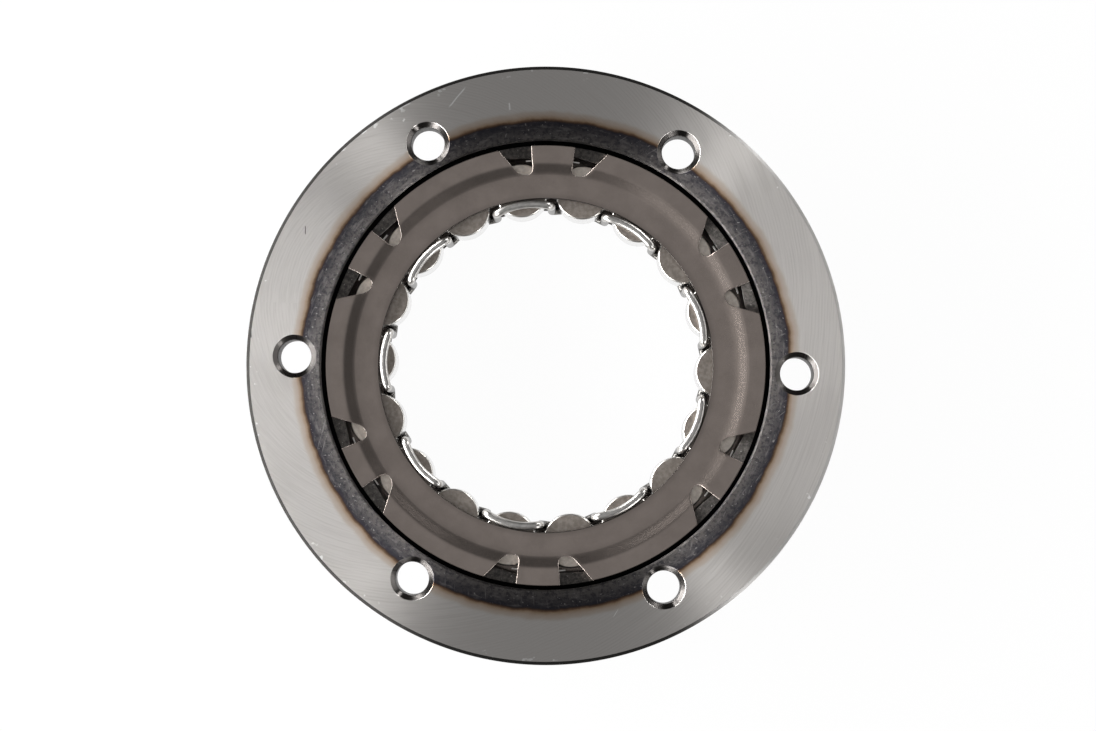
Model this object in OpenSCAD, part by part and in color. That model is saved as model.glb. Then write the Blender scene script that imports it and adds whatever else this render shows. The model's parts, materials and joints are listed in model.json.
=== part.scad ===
// Roller one-way clutch of a starter drive, lying on its back with the mounting face up.
// Lengths are in millimetres and angles in degrees. The axis is Z and the back face is at Z = 0.
// Seen from the front, the ramps narrow clockwise, so a hub that turns clockwise wedges the rollers.

/* [Rollers] */
// Diameter of the circle that the rollers touch inside, where the starter gear's hub runs
hub_d = 45.2; // [42:0.2:48]
// Number of rollers, a multiple of six
roller_n = 18; // [12, 18]
// Diameter of one roller
roller_d = 8.2; // [7:0.1:8.4]
// Length of one roller
roller_len = 9.3; // [7:0.1:14]
// Chamfer on a roller's ends
roller_chamfer = 0.2; // [0.15:0.05:0.5]
// Play at each end of a roller
end_play = 0.1; // [0.05:0.05:0.2]

/* [Ramps] */
// Gap between a roller at rest and its ramp
ramp_gap = 0.6; // [0.3:0.05:0.7]
// Angle between a ramp and the tangent above its roller
ramp_angle = 6; // [5:0.5:7]
// Angle round the axis that the steep side behind a ramp takes
ramp_return = 3; // [2:0.5:4]
// Length that the blend takes off each side of a ramp's corners
ramp_blend = 0.4; // [0.2:0.1:0.5]

/* [Flange and barrel] */
// Thickness of the flange
flange_t = 6.6; // [5:0.2:9]
// Width of the flange outside the bolt circle
flange_margin = 7.25; // [5:0.25:12]
// Width of the ledge between the widest part of the ramps and the barrel's rear seat
rear_ledge = 0.5; // [0.4:0.05:1.5]
// Wall of the barrel round the rear seat
barrel_wall = 1.8; // [1.5:0.05:3]
// Chamfer on the outer edges of the flange and barrel
edge_chamfer = 0.5; // [0.3:0.1:1]
// Fillet between the barrel and the flange
root_fillet = 0.6; // [0.3:0.1:1]

/* [Bolt holes] */
// Number of bolt holes
bolt_n = 6; // [3:1:9]
// Diameter of a bolt hole, bored for an M6 thread
bolt_d = 5; // [4:0.1:5.5]
// Diameter of a bolt hole's countersink in the mounting face
bolt_entry_d = 6.6; // [6:0.1:6.8]
// Diameter of the smaller countersink behind the flange, which stays clear of the root fillet
bolt_exit_d = 5.4; // [5.1:0.1:5.5]
// Distance from the barrel to the bolt circle
bolt_offset = 3.35; // [3.35:0.05:6]

/* [Cage plate] */
// Thickness of the sheet that the cage plate is pressed from
sheet_t = 0.8; // [0.6:0.05:1]
// Depth of the dish inside the plate's rim
dish_depth = 1; // [0.9:0.1:1.4]
// Width of the rounded step between rim and dish
step_w = 3.3; // [2.6:0.1:3.5]
// Gap between the step's outer edge and the ramps
step_gap = 0.35; // [0.15:0.05:0.6]
// Width of the flat rim
rim_w = 2.25; // [2.1:0.05:3.2]
// Gap round the rim inside the housing's front seat
rim_gap = 0.6; // [0.4:0.05:1]
// Depth of the rim below the mounting face
rim_drop = 0.7; // [0.4:0.1:1.5]
// Width of the groove round the seat's corner, outside the rim
groove_w = 0.6; // [0.3:0.05:0.65]
// Depth of that groove
groove_depth = 0.9; // [0.5:0.1:1.2]
// Depth of a notch, from the rim to its round bottom
notch_depth = 4.3; // [3.8:0.1:4.6]
// Angle from a notch's middle to its steep side, beside the narrow tab
notch_steep = 4.25; // [3.6:0.05:4.6]
// Angle from a notch's middle to its sloping side, at the rim
notch_slope = 4.5; // [3.5:0.1:5]

/* [Roller spring] */
// Diameter of the spring wire
wire_d = 1.2; // [0.9:0.05:1.25]
// Radius of the bends between the legs and the bows, to the middle of the wire
wire_bend = 0.9; // [0.7:0.05:1.1]
// Gap between a leg of the spring and the hub
leg_gap = 0.85; // [0.6:0.05:0.9]
// Distance that a bow stands outside the legs
bow_rise = 0.4; // [0.3:0.05:0.6]
// Gap between a bow and the edge that holds it
bow_gap = 0.1; // [0.1:0.05:0.3]
// Gap between the wire and a roller's end
wire_play = 0.05; // [0.05:0.01:0.08]

/* [Rear plate] */
// Thickness of the rear plate's lip, behind the spring
lip_t = 0.8; // [0.8:0.1:2]
// Gap between the lip and the hub
lip_gap = 1.6; // [0.6:0.1:1.8]
// Gap round the rear plate in its seat
seat_fit = 0.03; // [0.02:0.01:0.05]

/* [Tab clips] */
// Thickness of the clips' spring strip
clip_t = 0.35; // [0.2:0.05:0.4]
// Width of the clips' spring strip
clip_w = 0.25; // [0.2:0.05:0.3]
// Gap between a clip and the rollers' ends
clip_play = 0.12; // [0.05:0.01:0.15]
// Gap between a clip and the ramps
clip_gap = 0.15; // [0.1:0.05:0.3]
// Angle by which a clip stops short of a roller's middle
clip_short = 2.5; // [2:0.5:3.5]

/* [Hidden] */
$fn = 96;
cut = 1;
blend_steps = 4;
wire_sides = 8;
bend_steps = 3;
bow_steps = 6;
plate_chamfer = 0.12;
// Corners of a notch: where its sloping side flares near the rim, and the lengths its blends take
flare_depth = 0.5;
flare_angle = 1;
flare_blend = 0.4;
floor_angle = 0.4;
floor_blend = 0.95;
side_lean = 0.55;
side_blend = 1.2;
pitch = 360 / roller_n;
half_pitch = pitch / 2;
tab_n = roller_n / 3;
tab_pitch = 360 / tab_n;

// Radii, from the hub outwards
pitch_r = (hub_d + roller_d) / 2;
ramp_r = pitch_r * cos(ramp_angle) + roller_d / 2 + ramp_gap;
ramp_high_angle = half_pitch - ramp_return;
ramp_high_r = ramp_r / cos(ramp_high_angle + ramp_angle);
ramp_low_r = ramp_r / cos(ramp_angle - half_pitch);
rear_seat_r = ramp_high_r + rear_ledge;
barrel_r = ceil(10 * (rear_seat_r + barrel_wall)) / 10; // turned to a tenth
bolt_r = barrel_r + bolt_offset;
flange_r = bolt_r + flange_margin;
step_r = ramp_r - step_gap;
rim_r = step_r + rim_w;
seat_r = rim_r + rim_gap;
leg_r = hub_d / 2 + leg_gap + wire_d / 2;
bow_r = leg_r + bow_rise;
plate_bore_r = bow_r + wire_d / 2 + bow_gap;
lip_r = hub_d / 2 + lip_gap;
clip_r = ramp_r - clip_gap;

// Heights, from the back face upwards
rear_plate_t = lip_t + wire_d + 2 * wire_play - end_play;
roller_z = rear_plate_t + end_play;
roller_top = roller_z + roller_len;
dish_z = roller_top + end_play;
seat_z = dish_z + dish_depth;
total_h = seat_z + sheet_t + rim_drop;
flange_z = total_h - flange_t;
rear_bow_z = roller_z - wire_play - wire_d / 2;
front_bow_z = roller_top + wire_play + wire_d / 2;

// Shape of one bow: it leaves both bends turned outwards by bow_turn, so that no kink shows
leg_x = leg_r * cos(half_pitch);
leg_y = leg_r * sin(half_pitch);
bow_turn = 2 * atan((bow_r - leg_x) / (leg_y + wire_bend));
bow_bend = (leg_y - wire_bend * cos(bow_turn)) / sin(bow_turn);
bow_x = leg_x + wire_bend * sin(bow_turn) - bow_bend * cos(bow_turn);

function clip_name(i) = str("tab_clip_", i);
function roller_name(i) = str(i < 10 ? "roller_0" : "roller_", i);
function polar(r, a) = [r * cos(a), r * sin(a)];
function unit(v) = v / norm(v);

// One corner b of an outline, rounded from la before it to lc after it
function blend(a, b, c, la, lc) =
    let (p = b + la * unit(a - b), q = b + lc * unit(c - b))
    [for (k = [0:blend_steps])
        let (t = k / blend_steps)
        (1 - t) * (1 - t) * p + 2 * t * (1 - t) * b + t * t * q];

// The ramp bore's outline: each roller has a straight ramp and a steep side behind it
function ramp_corners() = [
    for (i = [0:roller_n - 1])
        for (corner = [[ramp_low_r, -half_pitch], [ramp_high_r, ramp_high_angle]])
            polar(corner[0], i * pitch + corner[1])
];

module ramp_outline() {
    corners = ramp_corners();
    n = len(corners);
    polygon([
        for (i = [0:n - 1])
            each blend(corners[(i + n - 1) % n], corners[i], corners[(i + 1) % n], ramp_blend, ramp_blend)
    ]);
}

// Half of the housing's section, with its bore left to the ramps
module housing_section() {
    polygon([
        [0, 0],
        [barrel_r - edge_chamfer, 0],
        [barrel_r, edge_chamfer],
        for (k = [0:blend_steps])
            let (a = 180 - 90 * k / blend_steps)
            [barrel_r + root_fillet, flange_z - root_fillet] + root_fillet * [cos(a), sin(a)],
        [flange_r - edge_chamfer, flange_z],
        [flange_r, flange_z + edge_chamfer],
        [flange_r, total_h - edge_chamfer],
        [flange_r - edge_chamfer, total_h],
        [0, total_h]
    ]);
}

module bolt_hole() {
    entry = (bolt_entry_d - bolt_d) / 2;
    exit = (bolt_exit_d - bolt_d) / 2;
    translate([0, 0, flange_z - cut])
        cylinder(d = bolt_d, h = flange_t + 2 * cut);
    translate([0, 0, flange_z - cut])
        cylinder(d1 = bolt_exit_d + 2 * cut, d2 = bolt_d, h = exit + cut);
    translate([0, 0, total_h - entry])
        cylinder(d1 = bolt_d, d2 = bolt_entry_d + 2 * cut, h = entry + cut);
}

// Housing: flange with its bolt circle, barrel behind it and the ramps that the rollers wedge on
module clutch_outer() {
    color([0.62, 0.60, 0.58])
    difference() {
        rotate_extrude() housing_section();
        translate([0, 0, -cut])
            linear_extrude(total_h + 2 * cut) ramp_outline();
        translate([0, 0, -cut])
            cylinder(r = rear_seat_r, h = rear_plate_t + cut);
        translate([0, 0, seat_z])
            cylinder(r = seat_r, h = total_h - seat_z + cut);
        rotate_extrude()
            translate([seat_r - groove_w, seat_z - groove_depth])
            square([groove_w, groove_depth + cut]);
        translate([0, 0, total_h - edge_chamfer / 2])
            cylinder(r1 = seat_r, r2 = seat_r + edge_chamfer / 2 + cut, h = edge_chamfer / 2 + cut);
        for (i = [0:bolt_n - 1])
            rotate([0, 0, i * 360 / bolt_n])
            translate([bolt_r, 0, 0]) bolt_hole();
    }
}

// Turned ring pressed into the back, with a relief that the spring's rear bows bear in
module rear_plate() {
    outer_r = rear_seat_r - seat_fit;
    color([0.50, 0.48, 0.46])
    rotate_extrude()
        polygon([
            [lip_r, 0],
            [outer_r - plate_chamfer, 0],
            [outer_r, plate_chamfer],
            [outer_r, rear_plate_t],
            [plate_bore_r, rear_plate_t],
            [plate_bore_r, lip_t],
            [lip_r, lip_t]
        ]);
}

// Height of the plate's top face above the dish, on the rounded step
function step_rise(t) = dish_depth * (1 - cos(180 * t)) / 2;

// Section of the dished sheet. The underside's step lies further out, which keeps the sheet even.
module plate_section() {
    steps = 2 * blend_steps;
    lean = sheet_t * tan(atan(dish_depth / step_w) / 2);
    polygon([
        [plate_bore_r, dish_z],
        for (k = [0:steps])
            [step_r - step_w + lean + step_w * k / steps, dish_z + step_rise(k / steps)],
        [rim_r, seat_z],
        [rim_r, seat_z + sheet_t - plate_chamfer],
        [rim_r - plate_chamfer, seat_z + sheet_t],
        for (k = [steps:-1:0])
            [step_r - step_w + step_w * k / steps, dish_z + sheet_t + step_rise(k / steps)],
        [plate_bore_r + plate_chamfer, dish_z + sheet_t],
        [plate_bore_r, dish_z + sheet_t - plate_chamfer]
    ]);
}

// Notch beside one edge of a tab, counted in angle from the tab's middle
module notch_outline() {
    floor_r = rim_r - notch_depth;
    flare_r = rim_r - flare_depth;
    steep = half_pitch - notch_steep;
    slope = half_pitch + notch_slope;
    outside = polar(rim_r + cut, steep);
    steep_floor = polar(floor_r, steep);
    slope_floor = polar(floor_r, half_pitch - floor_angle);
    slope_rim = polar(flare_r, slope - side_lean);
    outside_end = polar(rim_r + cut, slope + flare_angle);
    polygon([
        outside,
        each blend(outside, steep_floor, slope_floor, side_blend, floor_blend),
        each blend(steep_floor, slope_floor, slope_rim, floor_blend, side_blend),
        each blend(slope_floor, slope_rim, outside_end, flare_blend, flare_blend),
        outside_end
    ]);
}

// Dished front plate of the cage, with a narrow tab between the two notches of each pair
module cage_plate() {
    color([0.43, 0.38, 0.36])
    difference() {
        rotate_extrude() plate_section();
        for (i = [0:tab_n - 1])
            rotate([0, 0, (i + 0.5) * tab_pitch])
            for (side = [0, 1])
                mirror([0, side, 0])
                translate([0, 0, dish_z - cut])
                linear_extrude(total_h) notch_outline();
    }
}

// Stations along one bow and its two bends, each a place and a heading, in the frame of its roller.
// End is 1 for a bow in front of the roller and -1 for one behind it.
function corner_station(side, s, z, end) =
    let (u = [sin(bow_turn), -side * cos(bow_turn), 0])
    [
        [leg_x, side * leg_y, z - end * wire_bend] + wire_bend * ((1 - cos(s)) * u + [0, 0, end * sin(s)]),
        -side * (sin(s) * u + [0, 0, end * cos(s)])
    ];

function bow_station(a, z) = [
    [bow_x + bow_bend * cos(a), bow_bend * sin(a), z],
    [-sin(a), cos(a), 0]
];

function bow_stations(z, end) = [
    for (k = [0:bend_steps]) corner_station(-1, 90 * k / bend_steps, z, end),
    for (k = [1:bow_steps - 1]) bow_station(bow_turn * (2 * k / bow_steps - 1), z),
    for (k = [bend_steps:-1:0]) corner_station(1, 90 * k / bend_steps, z, end)
];

function turned(v, a) = [v[0] * cos(a) - v[1] * sin(a), v[0] * sin(a) + v[1] * cos(a), v[2]];

// All stations of the endless wire. The straight legs lie between one bow's stations and the next.
function wire_stations() = [
    for (i = [0:roller_n - 1])
        for (st = i % 2 == 1 ? bow_stations(front_bow_z, 1) : bow_stations(rear_bow_z, -1))
            [turned(st[0], i * pitch), turned(st[1], i * pitch)]
];

// Ring of points round a station, on two directions square to the wire's heading
function wire_ring(st) =
    let (
        radial = unit([st[0][0], st[0][1], 0]),
        n1 = unit(radial - (radial * st[1]) * st[1]),
        n2 = cross(st[1], n1)
    )
    [for (k = [0:wire_sides - 1])
        let (a = 360 * k / wire_sides)
        st[0] + wire_d / 2 * (cos(a) * n1 + sin(a) * n2)];

// Endless zigzag wire: legs between the rollers, bows in front of one roller and behind the next
module roller_spring() {
    stations = wire_stations();
    n = len(stations);
    color([0.80, 0.78, 0.75])
    polyhedron(
        points = [for (st = stations) each wire_ring(st)],
        faces = [
            for (i = [0:n - 1])
                for (k = [0:wire_sides - 1])
                    let (
                        j = (i + 1) % n,
                        m = (k + 1) % wire_sides,
                        p = i * wire_sides,
                        q = j * wire_sides
                    )
                    each [[p + k, q + k, q + m], [p + k, q + m, p + m]]
        ]
    );
}

// Short spring strip under a tab, with both ends showing in the notches
module tab_clip(i) {
    reach = half_pitch - clip_short;
    color([0.86, 0.84, 0.80])
    rotate([0, 0, (i - 0.5) * tab_pitch - reach])
    translate([0, 0, roller_top + clip_play])
    rotate_extrude(angle = 2 * reach)
    translate([clip_r - clip_w, 0]) square([clip_w, clip_t]);
}

module roller(i) {
    r = roller_d / 2;
    color([0.62, 0.58, 0.53])
    rotate([0, 0, (i - 1) * pitch])
    translate([pitch_r, 0, roller_z])
    rotate_extrude($fn = 48)
        polygon([
            [0, 0],
            [r - roller_chamfer, 0],
            [r, roller_chamfer],
            [r, roller_len - roller_chamfer],
            [r - roller_chamfer, roller_len],
            [0, roller_len]
        ]);
}

clutch_outer();
rear_plate();
cage_plate();
roller_spring();
for (i = [1:tab_n]) tab_clip(i);
for (i = [1:roller_n]) roller(i);
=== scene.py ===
# %% [markdown]
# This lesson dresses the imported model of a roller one-way clutch, the unit of a motorcycle's
# starter drive that lets the engine outrun the starter. The clutch lies on its back, and the
# camera looks down onto its mounting face. The model's bodies and nodes come from the frame,
# and every piece made here is worked out in millimetres and put into the mesh in metres.

# %% Load the frame
import json
import math

import bmesh
import bpy
import numpy as np
from mathutils import Matrix, Vector


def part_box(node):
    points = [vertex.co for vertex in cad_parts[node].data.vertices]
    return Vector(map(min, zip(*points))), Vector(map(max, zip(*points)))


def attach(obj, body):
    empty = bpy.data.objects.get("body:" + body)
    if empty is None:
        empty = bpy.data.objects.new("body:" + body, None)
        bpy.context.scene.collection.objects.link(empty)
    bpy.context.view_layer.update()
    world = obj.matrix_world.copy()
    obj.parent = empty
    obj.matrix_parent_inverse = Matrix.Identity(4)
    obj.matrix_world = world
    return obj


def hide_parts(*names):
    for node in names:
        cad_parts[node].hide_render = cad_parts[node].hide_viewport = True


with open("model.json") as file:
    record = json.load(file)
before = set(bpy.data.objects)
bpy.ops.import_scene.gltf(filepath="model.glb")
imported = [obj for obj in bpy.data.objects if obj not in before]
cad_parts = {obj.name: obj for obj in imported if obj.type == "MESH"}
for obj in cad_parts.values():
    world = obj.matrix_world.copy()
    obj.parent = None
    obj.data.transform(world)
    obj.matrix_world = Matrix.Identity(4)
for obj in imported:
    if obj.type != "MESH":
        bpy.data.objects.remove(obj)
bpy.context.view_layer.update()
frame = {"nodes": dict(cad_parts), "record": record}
MM = 0.001

# %% [markdown]
# The sizes are read from the nodes' boxes where the frame gives them. The others are the
# clutch's own working sizes: the angle of its ramps, the blends of its edges and the widths
# of its fits.

# %% Sizes from the frame, in millimetres


def node_box(name):
    """Lowest and highest corner of a node, in millimetres."""
    low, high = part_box(name)
    return np.array(low) / MM, np.array(high) / MM


housing_high = node_box("clutch_outer")[1]
plate_high = node_box("cage_plate")[1]
spring_low, spring_high = node_box("roller_spring")
rear_high = node_box("rear_plate")[1]
roller_low, roller_high = node_box("roller_01")
clip_low, clip_high = node_box("tab_clip_1")

flange_r = housing_high[0]
total_h = housing_high[2]
rim_r = plate_high[0]
roller_r = (roller_high[0] - roller_low[0]) / 2
pitch_r = (roller_high[0] + roller_low[0]) / 2
roller_z, roller_top = roller_low[2], roller_high[2]
roller_count = sum(name.startswith("roller_") and name[-1].isdigit() for name in frame["nodes"])
tab_count = sum(name.startswith("tab_clip_") for name in frame["nodes"])
pitch = 360 / roller_count
half_pitch = pitch / 2
tab_pitch = 360 / tab_count
bolts = next(m for m in frame["record"]["mounts"] if m["name"] == "flywheel_bolts")
bolt_r = bolts["dims"]["pcd_mm"] / 2
bolt_hole_r = bolts["dims"]["hole_r_mm"]
barrel = next(m for m in frame["record"]["mounts"] if m["name"] == "barrel_register")
barrel_r = barrel["dims"]["r_mm"]
print("flange radius", round(flange_r, 2), "height", round(total_h, 2), "rollers", roller_count)

# %% Working sizes, in millimetres and degrees
# housing
flange_t = 6.6
edge_chamfer = 0.5
seat_chamfer = 0.25
root_fillet = 0.6
bore_chamfer = 0.05
rear_chamfer = 0.15
bolt_entry_r = 3.3
bolt_exit_r = 2.7
groove_w = 0.6
groove_depth = 0.9
ramp_angle = 6
ramp_return = 3
ramp_gap = 0.6

# cage plate, spring and rollers
rim_gap = 0.6
rim_drop = 0.7
sheet_t = 0.8
dish_depth = 1.0
step_w = 3.3
rim_w = 2.25
wire_d = 1.2
wire_bend = 0.9
leg_gap = 0.85
bow_gap = 0.1
roller_chamfer = 0.2

# rear plate and clips
press_gap = 0.03
lip_t = 0.8
lip_gap = 1.6
clip_w = 0.25
clip_gap = 0.15
clip_short = 2.5

# what follows from these
rear_plate_t = rear_high[2]
rear_seat_r = rear_high[0] + press_gap
seat_r = rim_r + rim_gap
seat_z = total_h - rim_drop - sheet_t
step_r = rim_r - rim_w
plate_top = seat_z + sheet_t - dish_depth
hub_r = pitch_r - roller_r
leg_r = hub_r + leg_gap + wire_d / 2
bow_r = spring_high[0] - wire_d / 2
plate_bore_r = bow_r + wire_d / 2 + bow_gap
front_bow_z = spring_high[2] - wire_d / 2
rear_bow_z = spring_low[2] + wire_d / 2
ramp_r = pitch_r * math.cos(math.radians(ramp_angle)) + roller_r + ramp_gap
print("bow radius", round(bow_r, 2), "leg radius", round(leg_r, 2), "ramp radius", round(ramp_r, 3))

# %% [markdown]
# Three small helpers serve everywhere: points from radius and angle, points turned about the
# axis, and an object that puts a mesh, a lamp or a camera into the scene.

# %% Small helpers


def polar(radius, degrees, z):
    """Points at a radius, an angle and a height, broadcast against each other."""
    radius, degrees, z = np.broadcast_arrays(radius, np.radians(degrees), z)
    return np.stack([radius * np.cos(degrees), radius * np.sin(degrees), z], axis=-1)


def turned_points(points, degrees):
    """Points turned about the clutch's axis."""
    c, s = math.cos(math.radians(degrees)), math.sin(math.radians(degrees))
    return points @ np.array([[c, s, 0], [-s, c, 0], [0, 0, 1]])


def new_object(name, data):
    """Object in the scene that shows some data."""
    made = bpy.data.objects.new(name, data)
    bpy.context.scene.collection.objects.link(made)
    return made


# %% [markdown]
# The camera comes first, because every later choice is judged through it. The photograph was
# taken from about half a metre above the face with a long lens. The lens stood a little below
# and to the right of the clutch's middle, so the bore shows more of its upper and left walls.
# The first bolt hole lies two degrees clockwise of the picture's horizontal, which turns the
# camera about its own line of sight.

# %% Camera
PHOTO_W, PHOTO_H = 1096, 731
MM_PER_PX = 0.15
SENSOR_MM = 36
NEAREST_M = 0.01
CAMERA_DISTANCE = 520
CAMERA_TURN = 2
CENTRE_PX = (545.5, 364.9)  # the clutch's middle
NADIR_PX = (577, 476)  # the place right under the lens


def photo_to_part(x_px, y_px):
    """Place on the mounting face under a pixel: its offset from the clutch's middle, turned by
    CAMERA_TURN from the picture's axes to the part's axes."""
    offset = np.array([x_px - CENTRE_PX[0], CENTRE_PX[1] - y_px, 0]) * MM_PER_PX
    return turned_points(offset, CAMERA_TURN) + [0, 0, total_h]


camera_data = bpy.data.cameras.new("photo_camera")
camera_data.sensor_width = SENSOR_MM
camera_data.lens = SENSOR_MM * CAMERA_DISTANCE / (PHOTO_W * MM_PER_PX)
camera_data.clip_start = NEAREST_M
camera = new_object("photo_camera", camera_data)
bpy.context.scene.camera = camera
eye = Vector(photo_to_part(*NADIR_PX) + [0, 0, CAMERA_DISTANCE]) * MM
aim = Vector(photo_to_part(PHOTO_W / 2, PHOTO_H / 2)) * MM
back = (eye - aim).normalized()
picture_up = Vector(turned_points(np.array([0, 1, 0]), CAMERA_TURN))
right = picture_up.cross(back).normalized()
up = back.cross(right)
camera.matrix_world = Matrix.Translation(eye) @ Matrix((right, up, back)).transposed().to_4x4()
print("lens", round(camera_data.lens, 1), "mm")

# %% [markdown]
# All the pieces are surfaces on grids. One helper turns grids of points into a single closed
# mesh: it joins points that lie in the same place, so that the strips of a turned part share
# their edges, and drops the faces that a pole squeezes to nothing. Edges sharper than an angle
# stay crisp, and all the rest is shaded smooth.

# %% Helpers that put grids into a mesh
WELD_MM = 1e-4
CREASE_DEGREES = 28


def grid_faces(rows, cols, wrap_rows=False, wrap_cols=False):
    """Corner numbers of the quads between neighbours on a grid of rows by cols points."""
    r = np.arange(rows if wrap_rows else rows - 1)
    c = np.arange(cols if wrap_cols else cols - 1)
    r, c = np.meshgrid(r, c, indexing="ij")
    r2, c2 = (r + 1) % rows, (c + 1) % cols
    return np.stack([r * cols + c, r2 * cols + c, r2 * cols + c2, r * cols + c2], axis=-1).reshape(-1, 4)


def mesh_from(name, patches, crease=CREASE_DEGREES):
    """Closed mesh from patches, each a pair (points, quads) in millimetres."""
    points = np.concatenate([p.reshape(-1, 3) for p, q in patches])
    starts = np.cumsum([0] + [p.size // 3 for p, q in patches[:-1]])
    quads = np.concatenate([q + s for (p, q), s in zip(patches, starts)])
    _, first, index = np.unique(
        np.round(points / WELD_MM).astype(np.int64), axis=0, return_index=True, return_inverse=True
    )
    quads = index.reshape(-1)[quads]
    same_next = quads == np.roll(quads, -1, axis=1)
    whole = quads[~same_next.any(axis=1)]
    squeezed = quads[same_next.sum(axis=1) == 1]
    keep = ~same_next[same_next.sum(axis=1) == 1]
    triangles = squeezed[keep].reshape(-1, 3)
    triangles = triangles[triangles[:, 0] != triangles[:, 2]]
    whole = whole[(whole[:, 0] != whole[:, 2]) & (whole[:, 1] != whole[:, 3])]
    mesh = bpy.data.meshes.new(name)
    mesh.from_pydata((points[first] * MM).tolist(), [], whole.tolist() + triangles.tolist())
    shell = bmesh.new()
    shell.from_mesh(mesh)
    bmesh.ops.recalc_face_normals(shell, faces=shell.faces)
    shell.to_mesh(mesh)
    shell.free()
    mesh.shade_smooth()
    mesh.set_sharp_from_angle(angle=math.radians(crease))
    return new_object(name, mesh)


def report(piece):
    """Prints how many triangles a piece has, and whether each of its edges joins two faces."""
    mesh = piece.data
    mesh.calc_loop_triangles()
    sides = np.zeros(len(mesh.loops), dtype=np.int32)
    mesh.loops.foreach_get("edge_index", sides)
    closed = bool((np.bincount(sides, minlength=len(mesh.edges)) == 2).all())
    print(f"{piece.name}: {len(mesh.loop_triangles)} triangles, closed {closed}")


# %% [markdown]
# A turned edge is never a perfect corner. This helper takes the corners of a section and puts
# a small arc into each, and the arcs are what catch the light along a chamfer in the picture.

# %% Helper that rounds the corners of a section
ARC_STEPS = 4
GUARD = 0.06
MOST_BLEND, MOST_GUARD = 0.42, 0.48  # shares of a side that a corner may take


def corner_curve(p, corner, q, points):
    """Points of the curve (1-t)^2 p + 2t(1-t) corner + t^2 q."""
    t = np.linspace(0, 1, points)[:, None]
    return (1 - t) ** 2 * p + 2 * t * (1 - t) * corner + t**2 * q


def rounded(*corners, closed=False):
    """Section points from corners (radius, height, blend). Each corner becomes a curve between
    two points that lie one blend away on its two sides. One more point GUARD beyond each end
    keeps the flat beside it shaded flat."""
    corners = np.array(corners, dtype=float)
    out = []
    for i, (r, z, blend) in enumerate(corners):
        here = np.array([r, z])
        if blend == 0 or (not closed and i in (0, len(corners) - 1)):
            out.append(here[None])
            continue
        before = corners[i - 1, :2] - here
        after = corners[(i + 1) % len(corners), :2] - here
        p, q, ahead, behind = (
            here + side * min(reach / np.linalg.norm(side), most)
            for reach, most in ((blend, MOST_BLEND), (blend + GUARD, MOST_GUARD))
            for side in (before, after)
        )
        curve = corner_curve(p, here, q, ARC_STEPS + 1)
        out.append(np.concatenate([ahead[None], curve, behind[None]]))
    return np.concatenate(out)


def lathe(section, degrees, wrap_section):
    """Patch swept round the axis: point (i, j) is section point i turned to degrees j."""
    points = polar(section[:, :1], degrees[None, :], section[:, 1:])
    return points, grid_faces(len(section), len(degrees), wrap_rows=wrap_section, wrap_cols=True)


# %% [markdown]
# The housing is one forging: a flange with six bored holes and a barrel behind it. Inside it
# has a seat for the cage's plate, and below that the ramps. Its rings all use the same angles,
# so each ring of one strip is a ring of the next. The flange's two faces can't be plain rings,
# because the holes cut them. There each sixth of the face is a grid that runs from a hole's
# edge out to the sector's edge, worked out in angle and radius, where the sector is a plain
# rectangle and the straight lines from the hole never cross.

# %% Housing: rings, ramps and the drilled faces
SECTORS = bolts["dims"]["count"]
RING_POINTS = 480
SIDE_POINTS = 9
FACE_ROWS = np.array([0, 0.02, 0.25, 0.5, 0.75, 0.95, 1])
half_sector = 180 / SECTORS
ring_degrees = np.arange(RING_POINTS) * 360 / RING_POINTS - half_sector


def ramp_radius(degrees):
    """Radius of the ramp bore. Each ramp is flat, so its radius is ramp_r over the cosine of
    the angle from its foot, and a steep side leads back to the next ramp's low end."""
    phi = (degrees + half_pitch) % pitch - half_pitch
    top = half_pitch - ramp_return
    flat = ramp_r / np.cos(np.radians(phi + ramp_angle))
    high = ramp_r / math.cos(math.radians(top + ramp_angle))
    low = ramp_r / math.cos(math.radians(ramp_angle - half_pitch))
    steep = high + (low - high) * (phi - top) / ramp_return
    radius = np.where(phi > top, steep, flat)
    return (np.roll(radius, 1) + 2 * radius + np.roll(radius, -1)) / 4


def sector_edge(inner_r, outer_r):
    """Angle and radius of the points round one sector, from its low inner corner inwards arc
    first, then up one side, back along the outer arc and down the other side."""
    per_arc = RING_POINTS // SECTORS
    arc = np.linspace(-half_sector, half_sector, per_arc + 1)
    side = np.linspace(inner_r, outer_r, SIDE_POINTS + 1)
    right_side, left_side = np.full(SIDE_POINTS, half_sector), np.full(SIDE_POINTS, -half_sector)
    degrees = np.concatenate([arc[:-1], right_side, arc[:0:-1], left_side])
    radius = np.concatenate(
        [np.full(per_arc, inner_r), side[:-1], np.full(per_arc, outer_r), side[:0:-1]]
    )
    return degrees, radius


def drilled_face(inner_r, outer_r, z, hole_section):
    """One face sector with its hole: rings go from the sector's edge to the hole's edge, and on
    down the hole along hole_section. Both faces share the directions round a hole, so that
    their rings meet halfway down it."""
    degrees, radius = sector_edge(inner_r, outer_r)
    shared_radius = sector_edge(barrel_r, flange_r)[1]
    direction = np.arctan2(shared_radius - bolt_r, np.radians(degrees) * bolt_r)
    hole_r = hole_section[0, 0]
    hole_x = bolt_r + hole_r * np.sin(direction)
    hole_y = hole_r * np.cos(direction)
    hole_degrees = np.degrees(np.arctan2(hole_y, hole_x))
    hole_radius = np.hypot(hole_x, hole_y)
    t = FACE_ROWS[:, None]
    face = polar(radius + (hole_radius - radius) * t, degrees + (hole_degrees - degrees) * t, z)
    wall = np.stack(
        [
            bolt_r + hole_section[:, :1] * np.sin(direction),
            hole_section[:, :1] * np.cos(direction),
            hole_section[:, 1:] + 0 * direction,
        ],
        axis=-1,
    )
    points = np.concatenate([face, wall])
    return points, grid_faces(len(points), len(degrees), wrap_cols=True)


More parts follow.
